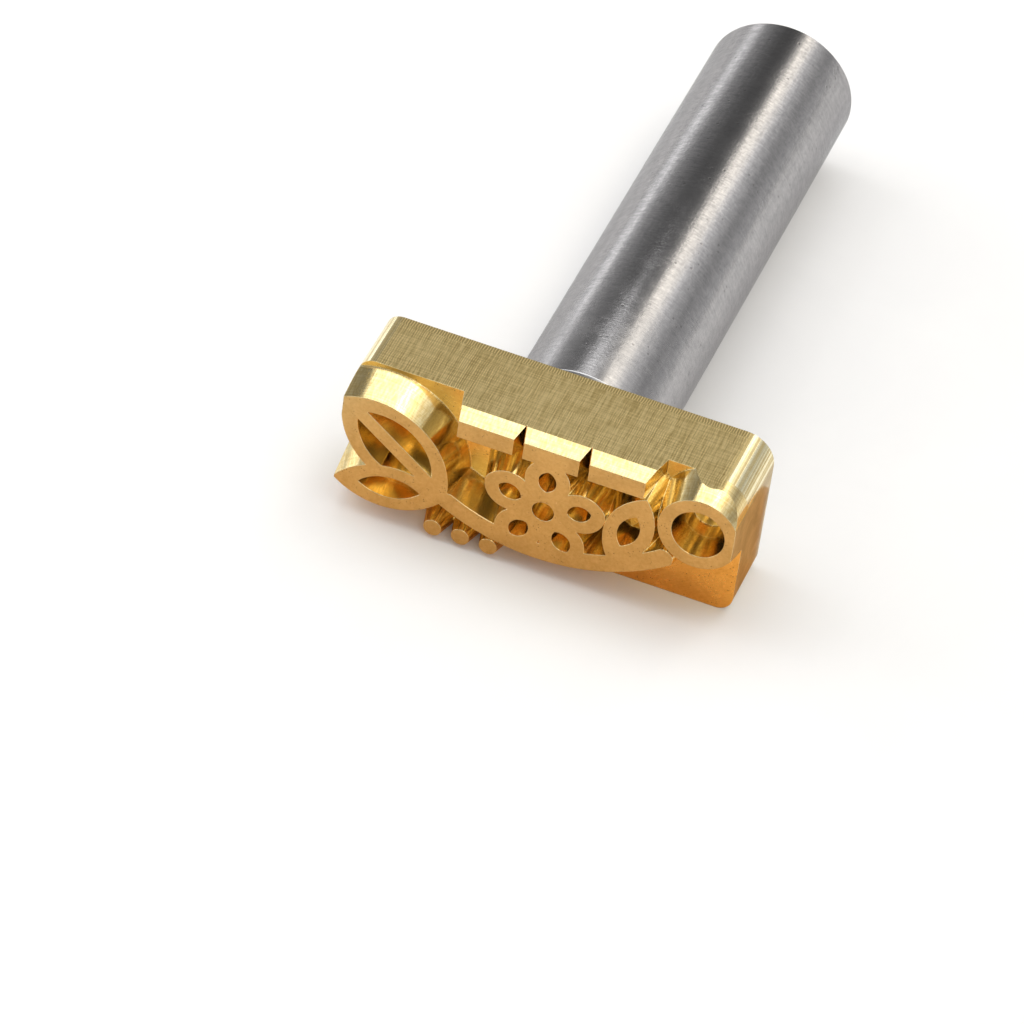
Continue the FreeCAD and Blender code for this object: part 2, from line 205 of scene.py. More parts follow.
def make_mottling():
    """Broad, soft, uneven patches, as haze or handling leaves them."""
    inputs = [("Place", "Vector"), ("Closeness", "Float"), ("Softness", "Float")]
    tree, given, result = new_group("mottling", inputs, [("Patches", "Float")])
    noise = place_node(tree, "TexNoise", inputs={"Vector": given["Place"], "Detail": 5.0,
                                                 "Scale": given["Closeness"], "Roughness": 0.62,
                                                 "Distortion": 0.6})
    low = work_out(tree, "SUBTRACT", 0.5, given["Softness"])
    high = work_out(tree, "ADD", 0.5, given["Softness"])
    tree.links.new(fade(tree, noise.outputs["Fac"], low, high), result["Patches"])
    return tree


def make_worn_edges():
    """Rounds sharp edges a little and marks where they are rubbed bright."""
    inputs = [("Radius", "Float"), ("Place", "Vector")]
    outputs = [("Edge", "Float"), ("Normal", "Vector")]
    tree, given, result = new_group("worn_edges", inputs, outputs)
    rounded = place_node(tree, "Bevel", {"samples": 6}, {"Radius": given["Radius"]}).outputs[0]
    plain = place_node(tree, "NewGeometry").outputs["Normal"]
    along = place_node(tree, "VectorMath", {"operation": "DOT_PRODUCT"}, {0: rounded, 1: plain})
    turned = work_out(tree, "SUBTRACT", 1.0, along.outputs["Value"])
    noise = place_node(tree, "TexNoise", inputs={"Vector": given["Place"], "Scale": 1400.0,
                                                 "Detail": 2.0})
    rubbed = fade(tree, noise.outputs["Fac"], 0.3, 0.6, 0.35, 1.0)
    edge = fade(tree, turned, 0.01, 0.12)
    tree.links.new(times(tree, edge, rubbed), result["Edge"])
    tree.links.new(rounded, result["Normal"])
    return tree


def make_cutter_sweeps():
    """Fine rings round a centre: those of a lathe on a bar end, or a wide cutter's on a flat face."""
    inputs = [("Place", "Vector"), ("Centre", "Vector"), ("Closeness", "Float")]
    tree, given, result = new_group("cutter_sweeps", inputs, [("Rings", "Float")])
    centred = place_node(tree, "VectorMath", {"operation": "SUBTRACT"},
                         {0: given["Place"], 1: given["Centre"]}).outputs[0]
    flat = place_node(tree, "VectorMath", {"operation": "MULTIPLY"},
                      {0: centred, 1: (1.0, 0.0, 1.0)}).outputs[0]
    reach = place_node(tree, "VectorMath", {"operation": "LENGTH"}, {0: flat}).outputs["Value"]
    count = times(tree, reach, given["Closeness"])
    noise = place_node(tree, "TexNoise", {"noise_dimensions": "1D"}, {"W": count, "Scale": 1.0,
                                                                     "Detail": 3.0})
    tree.links.new(fade(tree, noise.outputs["Fac"], 0.3, 0.7), result["Rings"])
    return tree


CUTTER_LINES = make_cutter_lines()
PITS = make_pits()
MOTTLING = make_mottling()
WORN_EDGES = make_worn_edges()
CUTTER_SWEEPS = make_cutter_sweeps()


def cutter_lines(tree, place, stretch, softness):
    """Broken lines, placed in a material."""
    inputs = {"Place": place, "Stretch": stretch, "Softness": softness}
    return use_group(tree, CUTTER_LINES, inputs)["Lines"]


def scattered_pits(tree, place, closeness, size, cover):
    """Clustered pits, placed in a material."""
    inputs = {"Place": place, "Closeness": closeness, "Size": size, "Cover": cover}
    return use_group(tree, PITS, inputs)["Pits"]


def mottling(tree, place, closeness, softness):
    """Uneven patches, placed in a material."""
    inputs = {"Place": place, "Closeness": closeness, "Softness": softness}
    return use_group(tree, MOTTLING, inputs)["Patches"]


def cutter_sweeps(tree, place, centre, closeness):
    """Fine rings round a centre, placed in a material."""
    inputs = {"Place": place, "Centre": centre, "Closeness": closeness}
    return use_group(tree, CUTTER_SWEEPS, inputs)["Rings"]


def press_in(tree, shader, height, strength, depth, normal=None):
    """Gives a surface its relief: the height, as deep as said, on top of a normal if one is given."""
    inputs = {"Strength": strength, "Distance": depth, "Height": height}
    if normal is not None:
        inputs["Normal"] = normal
    bump = place_node(tree, "Bump", inputs=inputs)
    tree.links.new(bump.outputs[0], shader.inputs["Normal"])


# ---- brass of the die ------------------------------------------------------------------------------
SIDE_DARK = (0.31, 0.225, 0.08, 1.0)
SIDE_LIGHT = (0.79, 0.63, 0.31, 1.0)
END_BRASS_DARK = (0.43, 0.312, 0.132, 1.0)
END_BRASS_LIGHT = (0.65, 0.485, 0.23, 1.0)
CORNER_DARK = (0.62, 0.47, 0.20, 1.0)
CORNER_LIGHT = (1.0, 0.92, 0.62, 1.0)
FACE_DARK = (0.52, 0.395, 0.165, 1.0)
FACE_LIGHT = (0.68, 0.56, 0.28, 1.0)
# The plate's orange is partly its brass and partly a painted reflection of tan leather in front of the
# die.
PLATE_DARK_PAINTED_REFLECTION = (0.72, 0.46, 0.12, 1.0)
PLATE_LIGHT_PAINTED_REFLECTION = (0.97, 0.70, 0.24, 1.0)
WALL_DARK = (0.66, 0.47, 0.17, 1.0)
WALL_LIGHT = (0.92, 0.76, 0.41, 1.0)
BRIGHT_BRASS = (1.0, 0.90, 0.58, 1.0)
PIT_BROWN = (0.20, 0.11, 0.04, 1.0)
BACK_SWEEP_CENTRE = (22 * MM, 0.0, -26 * MM)
FRONT_SWEEP_CENTRE = (-9 * MM, 0.0, 31 * MM)
TICK_BAND = 0.85 * MM
TICK_SPACING = 0.20 * MM
COLUMN_SPACING = 0.17 * MM
MILLED_DEPTH = 0.012 * MM
WORN_EDGE_RADIUS = 0.08 * MM
FLUSH_WITH_SIDE = 0.02 * MM
CLEAR_OF_SIDE = 0.06 * MM


def die_zones(tree, place, facing):
    """Shares of the die's surface that have a finish of their own, by name."""
    spot = place_node(tree, "SeparateXYZ", inputs={0: place}).outputs
    turn = place_node(tree, "SeparateXYZ", inputs={0: facing}).outputs
    forward = times(tree, turn["Y"], -1.0)
    front = fade(tree, forward, 0.75, 0.95)
    before_plate = fade(tree, spot["Y"], FLOOR_Y - 0.05 * MM, FLOOR_Y - 0.25 * MM)
    raised = fade(tree, spot["Y"], FACE_Y + 0.5 * MM, FACE_Y + 0.2 * MM)
    slope = fade(tree, work_out(tree, "ABSOLUTE", turn["Y"]), 0.05, 0.12)
    inside_x = fade(tree, work_out(tree, "ABSOLUTE", spot["X"]),
                    HALF_DIE_LENGTH - FLUSH_WITH_SIDE, HALF_DIE_LENGTH - CLEAR_OF_SIDE)
    inside_z = fade(tree, spot["Z"], DIE_TOP_Z - FLUSH_WITH_SIDE, DIE_TOP_Z - CLEAR_OF_SIDE)
    inside = times(tree, inside_x, inside_z)
    own_wall = work_out(tree, "MAXIMUM", slope, inside)
    not_front = work_out(tree, "SUBTRACT", 1.0, front)
    wall = times(tree, times(tree, not_front, before_plate), own_wall)
    sideways = work_out(tree, "ABSOLUTE", turn["X"])
    upright = work_out(tree, "ABSOLUTE", turn["Z"])
    corner = fade(tree, work_out(tree, "MINIMUM", sideways, upright), 0.06, 0.25)
    behind_plate = work_out(tree, "SUBTRACT", 1.0, before_plate)
    return spot, {
        "end": fade(tree, sideways, 0.85, 0.97),
        "front": front,
        "wall": wall,
        "face": times(tree, front, raised),
        "corner": times(tree, corner, behind_plate),
        "back": fade(tree, turn["Y"], 0.75, 0.95),
    }


def even_lines(tree, across, spacing, shift):
    """Lines at an even spacing, a little out of step where shift says so."""
    turns = times(tree, across, math.tau / spacing)
    wave = work_out(tree, "SINE", work_out(tree, "ADD", turns, shift))
    return fade(tree, wave, -0.3, 0.9)


def side_grain(tree, place, spot):
    """The grain of the milled sides: lines along the handle, broken into rows, and the edge ticks."""
    lines = cutter_lines(tree, place, (9000.0, 700.0, 9000.0), 0.12)
    rows = cutter_lines(tree, place, (420.0, 7600.0, 420.0), 0.12)
    strong = cutter_lines(tree, place, (5600.0, 160.0, 5600.0), 0.06)
    worn = mottling(tree, place, 200.0, 0.14)
    across = work_out(tree, "ADD", spot["X"], spot["Z"])
    drift = times(tree, worn, 5.0)
    columns = even_lines(tree, across, COLUMN_SPACING, drift)
    columns = times(tree, columns, fade(tree, rows, 0.0, 1.0, 0.35, 1.0))
    woven = blend_value(tree, 0.4, lines, rows)
    woven = blend_value(tree, fade(tree, worn, 0.2, 0.8, 0.25, 0.75), woven, columns)
    bright_lines = times(tree, strong, 0.3)
    grain = work_out(tree, "ADD", times(tree, woven, 0.9), bright_lines)
    grain = work_out(tree, "MULTIPLY", grain, fade(tree, worn, 0.0, 1.0, 0.88, 1.0), clamp=True)
    tick = even_lines(tree, across, TICK_SPACING, drift)
    band_start = SEAT_Y - TICK_BAND
    band = fade(tree, spot["Y"], band_start, band_start + 0.12 * MM)
    return blend_value(tree, times(tree, band, 0.85), grain, tick)


def corner_stripes(tree, place):
    """Bright stripes along the rounded corners, where the cutter stepped round them."""
    stripes = cutter_lines(tree, place, (5200.0, 50.0, 5200.0), 0.1)
    hatch = cutter_lines(tree, place, (900.0, 7000.0, 900.0), 0.25)
    return blend_value(tree, 0.2, stripes, hatch)


def wall_marks(tree, place):
    """Streaks down the relief walls, and thin lines round them that follow the cutter's depth."""
    streaks = cutter_lines(tree, place, (5600.0, 70.0, 5600.0), 0.2)
    depths = cutter_lines(tree, place, (90.0, 8200.0, 90.0), 0.2)
    return blend_value(tree, 0.4, streaks, depths)


def layered(tree, zones, side, end, corner, back, plate, face, wall, mix):
    """One value or colour over the whole die, from what each of its zones has."""
    result = mix(tree, zones["end"], side, end)
    result = mix(tree, zones["corner"], result, corner)
    result = mix(tree, zones["back"], result, back)
    result = mix(tree, zones["front"], result, plate)
    result = mix(tree, zones["face"], result, face)
    return mix(tree, zones["wall"], result, wall)


def milled_brass():
    """Milled brass: grained sides, striped corners, flat satin faces with pits, and bright walls."""
    material, tree, shader = new_material("milled_brass", 1.0)
    coords = place_node(tree, "TexCoord").outputs
    place = coords["Object"]
    spot, zones = die_zones(tree, place, coords["Normal"])
    grain = side_grain(tree, place, spot)
    stripes = corner_stripes(tree, place)
    marks = wall_marks(tree, place)
    back_sweeps = cutter_sweeps(tree, place, BACK_SWEEP_CENTRE, 4200.0)
    front_sweeps = cutter_sweeps(tree, place, FRONT_SWEEP_CENTRE, 6500.0)
    patches = mottling(tree, place, 420.0, 0.2)
    pits = scattered_pits(tree, place, 5600.0, 0.27, 0.45)
    pits = times(tree, pits, zones["front"])
    worn = use_group(tree, WORN_EDGES, {"Radius": WORN_EDGE_RADIUS, "Place": place})
    speckle = mottling(tree, place, 3600.0, 0.25)
    matte = blend_value(tree, 0.5, speckle, patches)
    satin = blend_value(tree, 0.85, front_sweeps, matte)
    back = blend_value(tree, 0.3, back_sweeps, patches)
    quiet = blend_value(tree, 0.7, grain, patches)

    colour = layered(
        tree, zones, mix=blend_colour,
        side=blend_colour(tree, grain, SIDE_DARK, SIDE_LIGHT),
        end=blend_colour(tree, quiet, END_BRASS_DARK, END_BRASS_LIGHT),
        corner=blend_colour(tree, stripes, CORNER_DARK, CORNER_LIGHT),
        back=blend_colour(tree, back, SIDE_DARK, SIDE_LIGHT),
        # Plate: brass with a painted reflection of tan leather mixed into its colour.
        plate=blend_colour(tree, satin, PLATE_DARK_PAINTED_REFLECTION, PLATE_LIGHT_PAINTED_REFLECTION),
        face=blend_colour(tree, matte, FACE_DARK, FACE_LIGHT),
        wall=blend_colour(tree, marks, WALL_DARK, WALL_LIGHT),
    )
    colour = blend_colour(tree, times(tree, worn["Edge"], 0.6), colour, BRIGHT_BRASS)
    colour = blend_colour(tree, times(tree, pits, 0.85), colour, PIT_BROWN)
    tree.links.new(colour, shader.inputs["Base Color"])

    rough = layered(
        tree, zones, mix=blend_value,
        side=fade(tree, grain, 0.0, 1.0, 0.50, 0.36),
        end=fade(tree, quiet, 0.0, 1.0, 0.40, 0.30),
        corner=fade(tree, stripes, 0.0, 1.0, 0.36, 0.20),
        back=fade(tree, back, 0.0, 1.0, 0.46, 0.34),
        plate=fade(tree, satin, 0.0, 1.0, 0.34, 0.26),
        face=fade(tree, matte, 0.0, 1.0, 0.44, 0.36),
        wall=fade(tree, marks, 0.0, 1.0, 0.20, 0.12),
    )
    rough = blend_value(tree, pits, rough, 0.7)
    rough = blend_value(tree, worn["Edge"], rough, 0.2)
    tree.links.new(rough, shader.inputs["Roughness"])

    height = layered(
        tree, zones, mix=blend_value,
        side=grain, corner=stripes, back=back,
        end=times(tree, quiet, 0.5),
        plate=times(tree, satin, 0.14),
        face=times(tree, matte, 0.3),
        wall=times(tree, marks, 0.22),
    )
    height = work_out(tree, "SUBTRACT", height, times(tree, pits, 1.6))
    press_in(tree, shader, height, 0.5, MILLED_DEPTH, worn["Normal"])
    return material


# ---- steel of the bar and the stud -------------------------------------------------------------------
BAR_DARK = (0.32, 0.315, 0.32, 1.0)
BAR_LIGHT = (0.56, 0.545, 0.545, 1.0)
BAR_EDGE_TINT = (0.60, 0.60, 0.61, 1.0)
CLOUD_GREY = (0.27, 0.265, 0.27, 1.0)
NICK_GREY = (0.26, 0.25, 0.25, 1.0)
END_DARK = (0.42, 0.42, 0.43, 1.0)
END_LIGHT = (0.68, 0.68, 0.69, 1.0)
THREAD_DARK = (0.24, 0.24, 0.25, 1.0)
THREAD_LIGHT = (0.50, 0.50, 0.52, 1.0)
SCUFF_DEPTH = 0.004 * MM
LATHE_DEPTH = 0.006 * MM
ROLLED_DEPTH = 0.008 * MM
HAZE_REACH = 20 * MM


def drawn_steel():
    """Bright bar: short scuffs round it, grainy patches, haze towards the die and a few nicks."""
    material, tree, shader = new_material("drawn_steel", 1.0)
    shader.inputs["Specular Tint"].default_value = BAR_EDGE_TINT
    place = place_node(tree, "TexCoord").outputs["Object"]
    spot = place_node(tree, "SeparateXYZ", inputs={0: place}).outputs
    scuffs = cutter_lines(tree, place, (950.0, 8000.0, 950.0), 0.14)
    along = cutter_lines(tree, place, (3000.0, 55.0, 3000.0), 0.2)
    haze = mottling(tree, place, 300.0, 0.3)
    speckle = mottling(tree, place, 1500.0, 0.2)
    grain = mottling(tree, place, 3400.0, 0.2)
    nicks = scattered_pits(tree, place, 1100.0, 0.15, 0.52)
    towards_die = fade(tree, spot["Y"], SEAT_Y + HAZE_REACH, SEAT_Y, 0.25, 1.0)
    grainy = fade(tree, speckle, 0.0, 1.0, 0.55, 1.0)
    clouded = times(tree, times(tree, haze, grainy), towards_die)

    shine = blend_value(tree, 0.4, scuffs, along)
    spotted = blend_value(tree, 0.5, speckle, grain)
    shine = blend_value(tree, 0.6, shine, spotted)
    grainy_patches = fade(tree, haze, 0.25, 0.75, 0.25, 1.0)
    colour = blend_colour(tree, shine, BAR_DARK, BAR_LIGHT)
    colour = blend_colour(tree, times(tree, clouded, 0.4), colour, CLOUD_GREY)
    colour = blend_colour(tree, times(tree, nicks, 0.8), colour, NICK_GREY)
    tree.links.new(colour, shader.inputs["Base Color"])

    rough = fade(tree, shine, 0.0, 1.0, 0.22, 0.15)
    rough = work_out(tree, "ADD", rough, times(tree, clouded, 0.18))
    tree.links.new(rough, shader.inputs["Roughness"])

    rubbed = times(tree, grain, times(tree, grainy_patches, 3.0))
    height = work_out(tree, "ADD", times(tree, scuffs, 0.7), along)
    height = work_out(tree, "ADD", height, rubbed)
    height = work_out(tree, "SUBTRACT", height, times(tree, nicks, 6.0))
    press_in(tree, shader, height, 0.3, SCUFF_DEPTH)
    return material


def turned_steel():
    """Faced bar ends: fine lathe rings."""
    material, tree, shader = new_material("turned_steel", 1.0)
    place = place_node(tree, "TexCoord").outputs["Object"]
    rings = cutter_sweeps(tree, place, (AXIS_X, 0.0, AXIS_Z), 9000.0)
    patches = mottling(tree, place, 420.0, 0.2)
    dents = scattered_pits(tree, place, 900.0, 0.2, 0.5)
    tone = blend_value(tree, 0.4, rings, patches)
    colour = blend_colour(tree, tone, END_DARK, END_LIGHT)
    colour = blend_colour(tree, times(tree, dents, 0.7), colour, NICK_GREY)
    tree.links.new(colour, shader.inputs["Base Color"])
    tree.links.new(fade(tree, tone, 0.0, 1.0, 0.42, 0.26), shader.inputs["Roughness"])
    height = work_out(tree, "SUBTRACT", rings, times(tree, dents, 3.0))
    press_in(tree, shader, height, 0.4, LATHE_DEPTH)
    return material


def thread_steel():
    """Plain machined thread: grey, with rolled marks along the helix and a little grime."""
    material, tree, shader = new_material("thread_steel", 1.0)
    place = place_node(tree, "TexCoord").outputs["Object"]
    rolled = cutter_lines(tree, place, (500.0, 6000.0, 500.0), 0.22)
    grime = mottling(tree, place, 700.0, 0.2)
    tone = blend_value(tree, 0.5, rolled, grime)
    tree.links.new(blend_colour(tree, tone, THREAD_DARK, THREAD_LIGHT),
                   shader.inputs["Base Color"])
    tree.links.new(fade(tree, tone, 0.0, 1.0, 0.5, 0.3), shader.inputs["Roughness"])
    press_in(tree, shader, rolled, 0.4, ROLLED_DEPTH)
    return material


# ---- turned shapes -----------------------------------------------------------------------------------
def ring(mesh, radius, along, segments):
    """A ring of points round the tool's axis."""
    points = []
    for step in range(segments):
        turn = math.tau * step / segments
        points.append(mesh.verts.new((AXIS_X + radius * math.cos(turn), along,
                                      AXIS_Z + radius * math.sin(turn))))
    return points


def skin(mesh, first, second, finish=0):
    """Faces between two rings of the same count."""
    count = len(first)
    for step in range(count):
        after = (step + 1) % count
        face = mesh.faces.new((first[step], first[after], second[after], second[step]))
        face.smooth = True
        face.material_index = finish


def close_ring(mesh, points, along, finish=0):
    """Faces from a ring to a point on the axis."""
    tip = mesh.verts.new((AXIS_X, along, AXIS_Z))
    count = len(points)
    for step in range(count):
        face = mesh.faces.new((points[step], points[(step + 1) % count], tip))
        face.smooth = True
        face.material_index = finish


def soften(profile, radius):
    """The profile with each inner corner rounded by three points."""
    rounded = [profile[0]]
    for before, corner, after in zip(profile, profile[1:], profile[2:]):
        corner_point = Vector(corner[:2])
        back = (Vector(before[:2]) - corner_point).normalized() * radius
        ahead = (Vector(after[:2]) - corner_point).normalized() * radius
        middle = corner_point + (back + ahead) * 0.25
        rounded.append((*(corner_point + back), before[2]))
        rounded.append((*middle, before[2]))
        rounded.append((*(corner_point + ahead), corner[2]))
    rounded.append(profile[-1])
    return rounded


def finish_mesh(mesh, name, materials, body, node):
    """Turns the work into an object that rides on a body and stands for a CAD node."""
    bmesh.ops.recalc_face_normals(mesh, faces=mesh.faces[:])
    data = bpy.data.meshes.new(name)
    mesh.to_mesh(data)
    mesh.free()
    for material in materials:
        data.materials.append(material)
    made = bpy.data.objects.new(name, data)
    bpy.context.scene.collection.objects.link(made)
    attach(made, body)
    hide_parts(node)
    return made


def make_bar():
    """The handle bar: chamfered at both ends, with its blind bore for the stud."""
    seat, struck = BAR_LOW.y, BAR_HIGH.y
    drawn, faced = 0, 1
    drill_tip = BORE_RADIUS / math.tan(DRILL_POINT_ANGLE / 2)
    profile = [
        (BORE_RADIUS, seat + BORE_DEPTH, faced),
        (BORE_RADIUS, seat + BORE_MOUTH_CHAMFER, faced),
        (BORE_RADIUS + BORE_MOUTH_CHAMFER, seat, faced),
        (BAR_RADIUS - SEAT_CHAMFER, seat, faced),
        (BAR_RADIUS, seat + SEAT_CHAMFER, drawn),
        (BAR_RADIUS, struck - STRUCK_CHAMFER, faced),
        (BAR_RADIUS - STRUCK_CHAMFER, struck, faced),
        (BAR_RADIUS * END_RING_SHARE, struck, faced),
    ]
    mesh = bmesh.new()
    softened = soften(profile, EDGE_ROUNDING)
    rings = [ring(mesh, radius, along, BAR_SEGMENTS) for radius, along, _ in softened]
    for index in range(len(rings) - 1):
        skin(mesh, rings[index], rings[index + 1], softened[index][2])
    close_ring(mesh, rings[0], seat + BORE_DEPTH + drill_tip, faced)
    close_ring(mesh, rings[-1], struck, faced)
    return finish_mesh(mesh, "handle_bar", (drawn_steel(), turned_steel()),
                       "handle", "handle")


def thread_radius(along, turn_share):
    """How far the thread stands out at one place along and round the stud."""
    phase = (along / THREAD_PITCH + turn_share) % 1.0
    from_crest = abs(phase - 0.5) * 2
    flank_start = THREAD_CREST_SHARE
    flank_end = 1.0 - THREAD_ROOT_SHARE
    fall = (from_crest - flank_start) / (flank_end - flank_start)
    return -THREAD_DEPTH * min(max(fall, 0.0), 1.0)


def threaded_ring(mesh, along, radius, length):
    """A ring round the stud whose points follow the helix, taken in at the chamfered ends."""
    from_end = min(along, length - along)
    end_limit = radius - THREAD_END_CHAMFER + from_end
    points = []
    for step in range(STUD_SEGMENTS):
        share = step / STUD_SEGMENTS
        reach = min(radius + thread_radius(along, share), end_limit)
        turn = math.tau * share
        points.append(mesh.verts.new((AXIS_X + reach * math.cos(turn), STUD_LOW.y + along,
                                      AXIS_Z + reach * math.sin(turn))))
    return points


def hexagon_ring(mesh, along):
    """The socket's six-sided outline, with as many points as the stud's own rings."""
    points = []
    flat = SOCKET_ACROSS_FLATS / 2
    for step in range(STUD_SEGMENTS):
        turn = math.tau * step / STUD_SEGMENTS
        off_flat = (turn % (math.pi / 3)) - math.pi / 6
        reach = flat / math.cos(off_flat)
        points.append(mesh.verts.new((AXIS_X + reach * math.cos(turn), along,
                                      AXIS_Z + reach * math.sin(turn))))
    return points


def make_stud():
    """The joining stud: a real helical thread with a hexagon socket in the handle's end."""
    radius = (STUD_HIGH.x - STUD_LOW.x) / 2
    length = STUD_HIGH.y - STUD_LOW.y
    count = round(length / THREAD_PITCH * STEPS_PER_PITCH)
    mesh = bmesh.new()
    rings = [threaded_ring(mesh, length * step / count, radius, length) for step in range(count + 1)]
    for first, second in zip(rings, rings[1:]):
        skin(mesh, first, second)
    mouth = hexagon_ring(mesh, STUD_HIGH.y)
    bottom = hexagon_ring(mesh, STUD_HIGH.y - SOCKET_DEPTH)
    skin(mesh, rings[-1], mouth)
    skin(mesh, mouth, bottom)
    close_ring(mesh, bottom, STUD_HIGH.y - SOCKET_DEPTH - SOCKET_POINT)
    close_ring(mesh, rings[0], STUD_LOW.y)
    return finish_mesh(mesh, "threaded_stud", (thread_steel(),),
                       "stud", "joining_stud")


def keep_edges_crisp(piece, angle):
    """Marks a piece's edges sharper than the angle, so that its smooth shading stops there."""
    piece.data.set_sharp_from_angle(angle=angle)


# ---- studio ------------------------------------------------------------------------------------------
FLOOR_SPAN = 8.0
FLOOR_GAP = 0.02 * MM
PAPER_WHITE = (0.93, 0.93, 0.93, 1.0)
PAPER_SHADE = (0.90, 0.90, 0.905, 1.0)
CARD_START_X = HALF_DIE_LENGTH + 0.2 * MM
CARD_END_X = HALF_DIE_LENGTH + 9 * MM
FRONT_CARD_HALF_WIDTH = 20 * MM
FRONT_CARD_REACH = 26 * MM
# Name, nearest and furthest corner along x and y, dark and light tan.
FLOOR_CARDS = (
    ("front_card", (-FRONT_CARD_HALF_WIDTH, FACE_Y - FRONT_CARD_REACH),
     (FRONT_CARD_HALF_WIDTH, FLOOR_Y), (0.84, 0.50, 0.26, 1.0), (0.92, 0.57, 0.30, 1.0)),
    ("end_card", (CARD_START_X, FLOOR_Y),
     (CARD_END_X, SEAT_Y), (0.70, 0.37, 0.12, 1.0), (0.77, 0.42, 0.14, 1.0)),
)
UPRIGHT_CARD_HEIGHT = 7.6 * MM
UPRIGHT_CARD_DARK = (0.90, 0.56, 0.24, 1.0)
UPRIGHT_CARD_LIGHT = (0.98, 0.63, 0.29, 1.0)
# Name, centre, width, depth, radiance, and whether reflections see it.
LAMPS = (
    ("overhead_softbox", (-0.12, 0.07, 0.6), 0.62, 0.50, 1.9, True),
    ("left_fill", (-0.55, -0.05, 0.45), 0.5, 0.5, 1.6, False),
)
SKY_STRENGTH = 2.2
LAMP_RADIANCE = 2.0
LAMP_WARMTH = (1.0, 0.95, 0.86)
PLAIN_LIGHT = (1.0, 1.0, 1.0)
# How bright the studio is at each angle from straight up, in degrees, towards the right.
SKY_BANDS = (
    (-180, 0.65), (-100, 0.55), (-88, 0.62), (-80, 1.70), (-72, 1.70), (-65, 0.58), (-55, 0.40),
    (-40, 0.22), (-22, 0.10), (-4, 0.12), (8, 0.30), (14, 2.10), (24, 2.20), (33, 1.20), (44, 0.74),
    (62, 0.38), (84, 0.66), (100, 0.62), (180, 0.65),
)


def flat_sheet(name, low, high, place):
    """A rectangle that belongs to the studio, its corners put in the room by place."""
    mesh = bmesh.new()
    corners = ((low[0], low[1]), (high[0], low[1]), (high[0], high[1]), (low[0], high[1]))
    mesh.faces.new([mesh.verts.new(place(first, second)) for first, second in corners])
    data = bpy.data.meshes.new(name)
    mesh.to_mesh(data)
    mesh.free()
    made = bpy.data.objects.new(name, data)
    bpy.context.scene.collection.objects.link(made)
    return made


def paper_floor():
    """A plain pale floor."""
    material, tree, shader = new_material("paper_floor", 0.0)
    place = place_node(tree, "TexCoord").outputs["Object"]
    fibres = mottling(tree, place, 60.0, 0.3)
    tree.links.new(blend_colour(tree, fibres, PAPER_SHADE, PAPER_WHITE),
                   shader.inputs["Base Color"])
    shader.inputs["Roughness"].default_value = 0.9
    shader.inputs["Specular IOR Level"].default_value = 0.1
    half = FLOOR_SPAN / 2
    made = flat_sheet("floor", (-half, -half), (half, half),
                      lambda x, y: (x, y, GROUND_Z - FLOOR_GAP))
    made.data.materials.append(material)


def tan_card(name, low, high, place, dark, light):
    """A card of tan leather that only reflections see, and only from its front."""
    material, tree, shader = new_material(name, 0.0)
    spot = place_node(tree, "TexCoord").outputs["Object"]
    patches = mottling(tree, spot, 90.0, 0.3)
    tree.links.new(blend_colour(tree, patches, dark, light), shader.inputs["Base Color"])
    shader.inputs["Roughness"].default_value = 0.8
    behind = place_node(tree, "NewGeometry").outputs["Backfacing"]
    clear = place_node(tree, "BsdfTransparent").outputs[0]
    seen = place_node(tree, "MixShader", inputs={0: behind, 1: shader.outputs[0], 2: clear})
    tree.links.new(seen.outputs[0], tree.nodes["Material Output"].inputs["Surface"])
    made = flat_sheet(name, low, high, place)
    made.data.materials.append(material)
    made.visible_camera = False
    made.visible_diffuse = False
    made.visible_shadow = False
    made.visible_transmission = False


def warm_cards():
    """Tan cards by the die, two on the floor and one upright at its end, as leather on the bench."""
    for name, low, high, dark, light in FLOOR_CARDS:
        tan_card(name, low, high, lambda x, y: (x, y, GROUND_Z + FLOOR_GAP), dark, light)
    tan_card("upright_card", (CARD_START_X, GROUND_Z),
             (CARD_END_X, GROUND_Z + UPRIGHT_CARD_HEIGHT), lambda x, z: (x, SEAT_Y, z),
             UPRIGHT_CARD_DARK, UPRIGHT_CARD_LIGHT)


def studio_sky():
    """Soft surroundings in long bands that run the handle's way, plain white to the camera."""
    world = bpy.data.worlds.new("studio")
    bpy.context.scene.world = world
    world.use_nodes = True
    tree = world.node_tree
    background = tree.nodes["Background"]
    towards = place_node(tree, "SeparateXYZ",
                         inputs={0: place_node(tree, "TexCoord").outputs["Generated"]}).outputs
    angle = work_out(tree, "ARCTAN2", towards["X"], towards["Z"])
    share = work_out(tree, "MULTIPLY_ADD", angle, 1.0 / math.tau)
    share.node.inputs[2].default_value = 0.5
    ramp = place_node(tree, "ValToRGB", inputs={0: share})
    elements = ramp.color_ramp.elements
    while len(elements) > 1:
        elements.remove(elements[0])
    elements[0].position = 0.0
    for index, (degrees, radiance) in enumerate(SKY_BANDS):
        stop = elements[0] if index == 0 else elements.new(degrees / 360 + 0.5)
        warmth = LAMP_WARMTH if radiance > LAMP_RADIANCE else PLAIN_LIGHT
        stop.color = (*(channel * radiance / SKY_STRENGTH for channel in warmth), 1.0)
    seen = place_node(tree, "LightPath").outputs["Is Camera Ray"]
    plain = (1.0 / SKY_STRENGTH, 1.0 / SKY_STRENGTH, 1.0 / SKY_STRENGTH, 1.0)
    tree.links.new(blend_colour(tree, seen, ramp.outputs["Color"], plain),
                   background.inputs["Color"])
    background.inputs["Strength"].default_value = SKY_STRENGTH


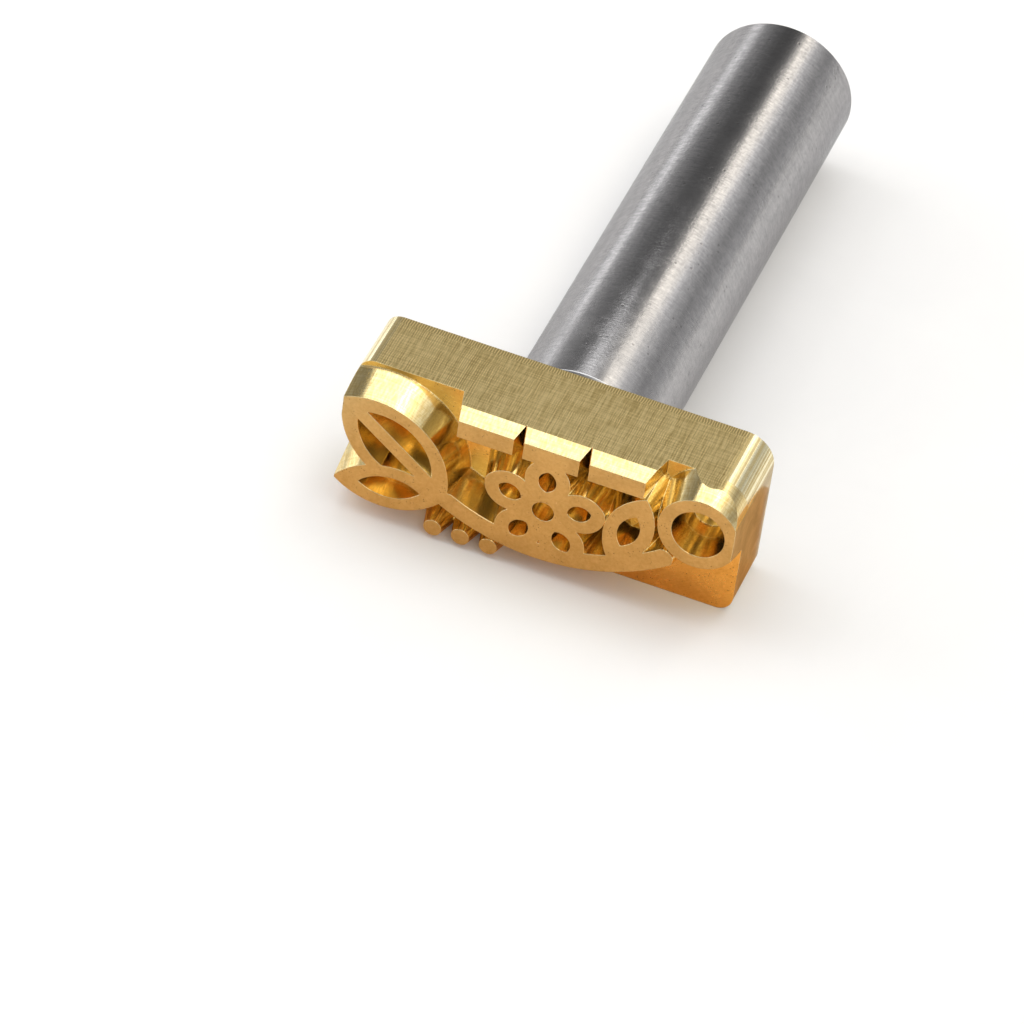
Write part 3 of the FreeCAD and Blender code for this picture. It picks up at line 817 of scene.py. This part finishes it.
def softbox(name, centre, width, depth, radiance, in_reflections):
    """A soft rectangular lamp that looks at the die."""
    lamp = bpy.data.lights.new(name, "AREA")
    lamp.shape = "RECTANGLE"
    lamp.size = width
    lamp.size_y = depth
    lamp.energy = radiance * math.pi * width * depth
    made = bpy.data.objects.new(name, lamp)
    bpy.context.scene.collection.objects.link(made)
    made.location = centre
    target = Vector((AXIS_X, SEAT_Y, AXIS_Z))
    made.rotation_mode = "QUATERNION"
    made.rotation_quaternion = (target - Vector(centre)).to_track_quat("-Z", "Y")
    made.visible_glossy = in_reflections
    return made


def light_studio():
    """The studio: sky bands, one softbox overhead and one fill that reflections don't see."""
    studio_sky()
    for lamp in LAMPS:
        softbox(*lamp)


def set_camera():
    """The camera, a long lens looking down at the die with a slight tilt."""
    flat = math.cos(CAMERA_ELEVATION)
    back = Vector((math.sin(CAMERA_AZIMUTH) * flat, -math.cos(CAMERA_AZIMUTH) * flat,
                   math.sin(CAMERA_ELEVATION)))
    level = Vector((math.cos(CAMERA_AZIMUTH), math.sin(CAMERA_AZIMUTH), 0.0))
    lift = back.cross(level)
    right = level * math.cos(CAMERA_ROLL) + lift * math.sin(CAMERA_ROLL)
    up = back.cross(right)
    aim = Vector((AXIS_X - AIM_LEFT_OF_AXIS, FACE_Y - AIM_BEFORE_FACE, AXIS_Z))
    data = bpy.data.cameras.new("camera")
    data.lens = CAMERA_LENS
    data.sensor_width = 36.0
    data.clip_start = 0.01
    made = bpy.data.objects.new("camera", data)
    bpy.context.scene.collection.objects.link(made)
    turned = Matrix((right, up, back)).transposed().to_4x4()
    made.matrix_world = Matrix.Translation(aim + back * CAMERA_DISTANCE) @ turned
    bpy.context.scene.camera = made


def dress_die():
    """The die keeps its CAD shape and gets its brass."""
    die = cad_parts["stamp_die"]
    die.data.materials.clear()
    die.data.materials.append(milled_brass())


dress_die()
keep_edges_crisp(make_bar(), BAR_CRISP_ANGLE)
keep_edges_crisp(make_stud(), STUD_CRISP_ANGLE)
paper_floor()
warm_cards()
light_studio()
set_camera()
bpy.context.scene.view_settings.view_transform = "Standard"
